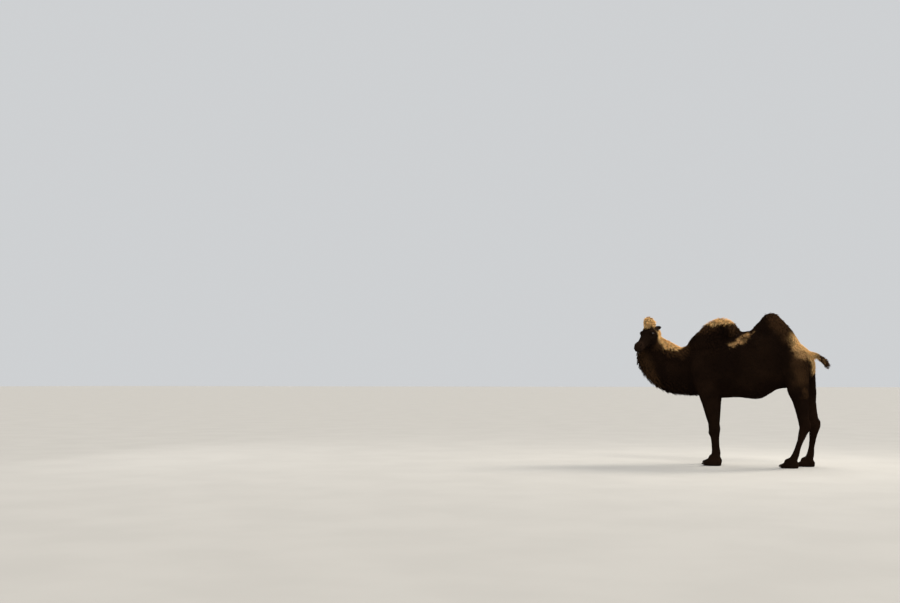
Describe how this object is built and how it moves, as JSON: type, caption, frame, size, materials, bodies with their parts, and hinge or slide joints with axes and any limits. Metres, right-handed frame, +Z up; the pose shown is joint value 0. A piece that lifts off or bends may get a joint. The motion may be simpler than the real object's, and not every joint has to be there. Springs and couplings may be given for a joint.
{
  "type": "bactrian camel, standing still model",
  "caption": "Life-size still model of a standing two-humped camel with dark short coat, sandy wool on crown and humps, head turned to its left and tail lifted.",
  "frame": {"origin": "on the floor, under the middle of the whole model's box", "axes": "+Z up, -Y the way the trunk faces, +X the animal's left side"},
  "size_m": [0.9104, 2.5864, 2.0404],
  "materials": {
    "short_dark_coat": "short dense blackish-brown hair lying along the body, dull, paler where the sun has bleached it",
    "long_sandy_wool": "long curly sandy wool in tufts, matt",
    "eye": "dark brown, wet gloss",
    "toenail": "dark horn, worn dull"
  },
  "bodies": {
    "root": {"trunk": "short_dark_coat", "hump_front": "long_sandy_wool", "hump_rear": "short_dark_coat", "neck_lower": "short_dark_coat", "neck_upper": "short_dark_coat", "head": "short_dark_coat", "topknot": "long_sandy_wool", "ear_left": "short_dark_coat", "ear_right": "short_dark_coat", "eye_left": "eye", "eye_right": "eye", "tail": "short_dark_coat", "fore_left_upper": "short_dark_coat", "fore_left_lower": "short_dark_coat", "fore_left_foot": "short_dark_coat", "toenail_fore_left_outer": "toenail", "toenail_fore_left_inner": "toenail", "fore_right_upper": "short_dark_coat", "fore_right_lower": "short_dark_coat", "fore_right_foot": "short_dark_coat", "toenail_fore_right_outer": "toenail", "toenail_fore_right_inner": "toenail", "hind_left_upper": "short_dark_coat", "hind_left_lower": "short_dark_coat", "hind_left_foot": "short_dark_coat", "toenail_hind_left_outer": "toenail", "toenail_hind_left_inner": "toenail", "hind_right_upper": "short_dark_coat", "hind_right_lower": "short_dark_coat", "hind_right_foot": "short_dark_coat", "toenail_hind_right_outer": "toenail", "toenail_hind_right_inner": "toenail"}
  },
  "joints": []
}
